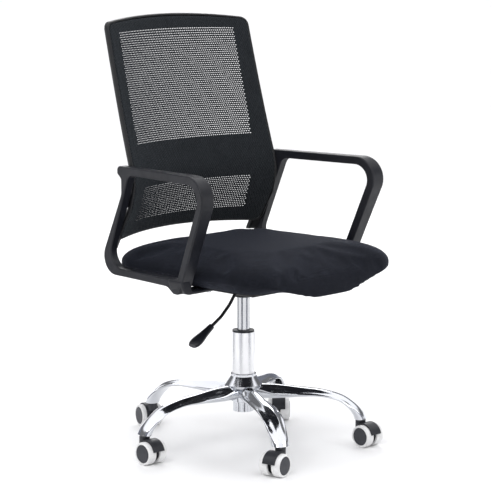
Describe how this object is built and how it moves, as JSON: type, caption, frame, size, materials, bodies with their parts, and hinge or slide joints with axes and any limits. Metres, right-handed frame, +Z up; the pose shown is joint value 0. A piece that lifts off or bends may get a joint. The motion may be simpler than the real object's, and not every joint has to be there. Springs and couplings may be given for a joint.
{
  "type": "swivel office chair",
  "caption": "Height-adjustable swivel office chair with a curved mesh back, padded fabric seat, closed-loop armrests and a chromed star base on twin-wheel casters.",
  "frame": {"origin": "on the floor, on the axis of the gas column", "axes": "+Z up, the sitter faces -Y, +X on the sitter's left"},
  "size_m": [0.575, 0.5799, 0.953],
  "materials": {
    "chrome": "mirror-bright chrome plate",
    "pale_plug": "bright plated plug with flutes",
    "steel": "bright turned steel",
    "bolts": "zinc-plated socket screws",
    "black_plate": "black powder coat",
    "black_plastic": "fine-textured black plastic",
    "seat_underside": "plywood board under a black dust cloth",
    "seat_fabric": "fine woven black-navy cloth",
    "black_nylon": "satin black glass-filled nylon",
    "back_mesh": "knitted black mesh with two see-through windows",
    "caster_grey": "satin dark grey nylon",
    "axle_steel": "bright steel",
    "wheel_grey": "satin dark grey nylon",
    "pale_tread": "pale soft polyurethane"
  },
  "bodies": {
    "base": {"base_hub": "chrome", "base_legs": "chrome", "hub_plug": "pale_plug", "caster_stems": "steel", "column_tube": "chrome", "column_bush": "black_plastic"},
    "column_swivel": {"piston_rod": "steel", "retaining_clip": "steel", "thrust_bearing": "steel"},
    "seat": {"gas_cylinder": "chrome", "mechanism_plate": "black_plate", "mechanism_bolts": "bolts", "lever_pin": "steel", "seat_board": "seat_underside", "board_t_nuts": "steel", "seat_cushion": "seat_fabric", "arm_left": "black_nylon", "arm_right": "black_nylon", "arm_bolts": "bolts", "back_frame": "black_nylon", "back_mesh": "back_mesh", "back_bolts": "bolts"},
    "lever": {"lever_rod": "black_plate", "lever_paddle": "black_plastic"},
    "valve": {"valve_button": "steel"},
    "caster_1": {"caster_hood_1": "caster_grey", "caster_axle_1": "axle_steel"},
    "wheel_1a": {"wheel_1a": "wheel_grey", "tyre_1a": "pale_tread"},
    "wheel_1b": {"wheel_1b": "wheel_grey", "tyre_1b": "pale_tread"},
    "caster_2": {"caster_hood_2": "caster_grey", "caster_axle_2": "axle_steel"},
    "wheel_2a": {"wheel_2a": "wheel_grey", "tyre_2a": "pale_tread"},
    "wheel_2b": {"wheel_2b": "wheel_grey", "tyre_2b": "pale_tread"},
    "caster_3": {"caster_hood_3": "caster_grey", "caster_axle_3": "axle_steel"},
    "wheel_3a": {"wheel_3a": "wheel_grey", "tyre_3a": "pale_tread"},
    "wheel_3b": {"wheel_3b": "wheel_grey", "tyre_3b": "pale_tread"},
    "caster_4": {"caster_hood_4": "caster_grey", "caster_axle_4": "axle_steel"},
    "wheel_4a": {"wheel_4a": "wheel_grey", "tyre_4a": "pale_tread"},
    "wheel_4b": {"wheel_4b": "wheel_grey", "tyre_4b": "pale_tread"},
    "caster_5": {"caster_hood_5": "caster_grey", "caster_axle_5": "axle_steel"},
    "wheel_5a": {"wheel_5a": "wheel_grey", "tyre_5a": "pale_tread"},
    "wheel_5b": {"wheel_5b": "wheel_grey", "tyre_5b": "pale_tread"}
  },
  "joints": [
    {"name": "seat_swivel", "type": "hinge", "parent": "base", "child": "column_swivel", "pos_m": [0, 0, 0.2], "axis": [0, 0, 1], "continuous": true},
    {"name": "seat_height", "type": "slide", "parent": "column_swivel", "child": "seat", "axis": [0, 0, 1], "range_m": [-0.065, 0.025]},
    {"name": "height_lever", "type": "hinge", "parent": "seat", "child": "lever", "pos_m": [-0.034, -0.04, 0.366], "axis": [0, 1, 0], "range_deg": [0, 6], "stiffness_Nm_per_rad": 3, "springref_deg": -6.88},
    {"name": "valve_press", "type": "slide", "parent": "seat", "child": "valve", "axis": [0, 0, -1], "range_m": [0, 0.0036]},
    {"name": "caster_swivel_1", "type": "hinge", "parent": "base", "child": "caster_1", "pos_m": [0.18002, -0.19036, 0.05], "axis": [0, 0, 1], "continuous": true},
    {"name": "wheel_roll_1a", "type": "hinge", "parent": "caster_1", "child": "wheel_1a", "pos_m": [0.1795, -0.21136, 0.025], "axis": [0.9997, -0.0244, 0], "continuous": true},
    {"name": "wheel_roll_1b", "type": "hinge", "parent": "caster_1", "child": "wheel_1b", "pos_m": [0.1795, -0.21136, 0.025], "axis": [0.9997, -0.0244, 0], "continuous": true},
    {"name": "caster_swivel_2", "type": "hinge", "parent": "base", "child": "caster_2", "pos_m": [0.23667, 0.11238, 0.05], "axis": [0, 0, 1], "continuous": true},
    {"name": "wheel_roll_2a", "type": "hinge", "parent": "caster_2", "child": "wheel_2a", "pos_m": [0.22132, 0.09806, 0.025], "axis": [0.682, -0.7314, 0], "continuous": true},
    {"name": "wheel_roll_2b", "type": "hinge", "parent": "caster_2", "child": "wheel_2b", "pos_m": [0.22132, 0.09806, 0.025], "axis": [0.682, -0.7314, 0], "continuous": true},
    {"name": "caster_swivel_3", "type": "hinge", "parent": "base", "child": "caster_3", "pos_m": [-0.03374, 0.25982, 0.05], "axis": [0, 0, 1], "continuous": true},
    {"name": "wheel_roll_3a", "type": "hinge", "parent": "caster_3", "child": "wheel_3a", "pos_m": [-0.02656, 0.27955, 0.025], "axis": [-0.9397, 0.342, 0], "continuous": true},
    {"name": "wheel_roll_3b", "type": "hinge", "parent": "caster_3", "child": "wheel_3b", "pos_m": [-0.02656, 0.27955, 0.025], "axis": [-0.9397, 0.342, 0], "continuous": true},
    {"name": "caster_swivel_4", "type": "hinge", "parent": "base", "child": "caster_4", "pos_m": [-0.25753, 0.0482, 0.05], "axis": [0, 0, 1], "continuous": true},
    {"name": "wheel_roll_4a", "type": "hinge", "parent": "caster_4", "child": "wheel_4a", "pos_m": [-0.25822, 0.02721, 0.025], "axis": [0.9995, -0.0332, 0], "continuous": true},
    {"name": "wheel_roll_4b", "type": "hinge", "parent": "caster_4", "child": "wheel_4b", "pos_m": [-0.25822, 0.02721, 0.025], "axis": [0.9995, -0.0332, 0], "continuous": true},
    {"name": "caster_swivel_5", "type": "hinge", "parent": "base", "child": "caster_5", "pos_m": [-0.12542, -0.23003, 0.05], "axis": [0, 0, 1], "continuous": true},
    {"name": "wheel_roll_5a", "type": "hinge", "parent": "caster_5", "child": "wheel_5a", "pos_m": [-0.1461, -0.23368, 0.025], "axis": [0.1736, -0.9848, 0], "continuous": true},
    {"name": "wheel_roll_5b", "type": "hinge", "parent": "caster_5", "child": "wheel_5b", "pos_m": [-0.1461, -0.23368, 0.025], "axis": [0.1736, -0.9848, 0], "continuous": true}
  ],
  "couplings": [
    {"joint": "valve_press", "follows": "height_lever", "m_per_rad": 0.034}
  ]
}
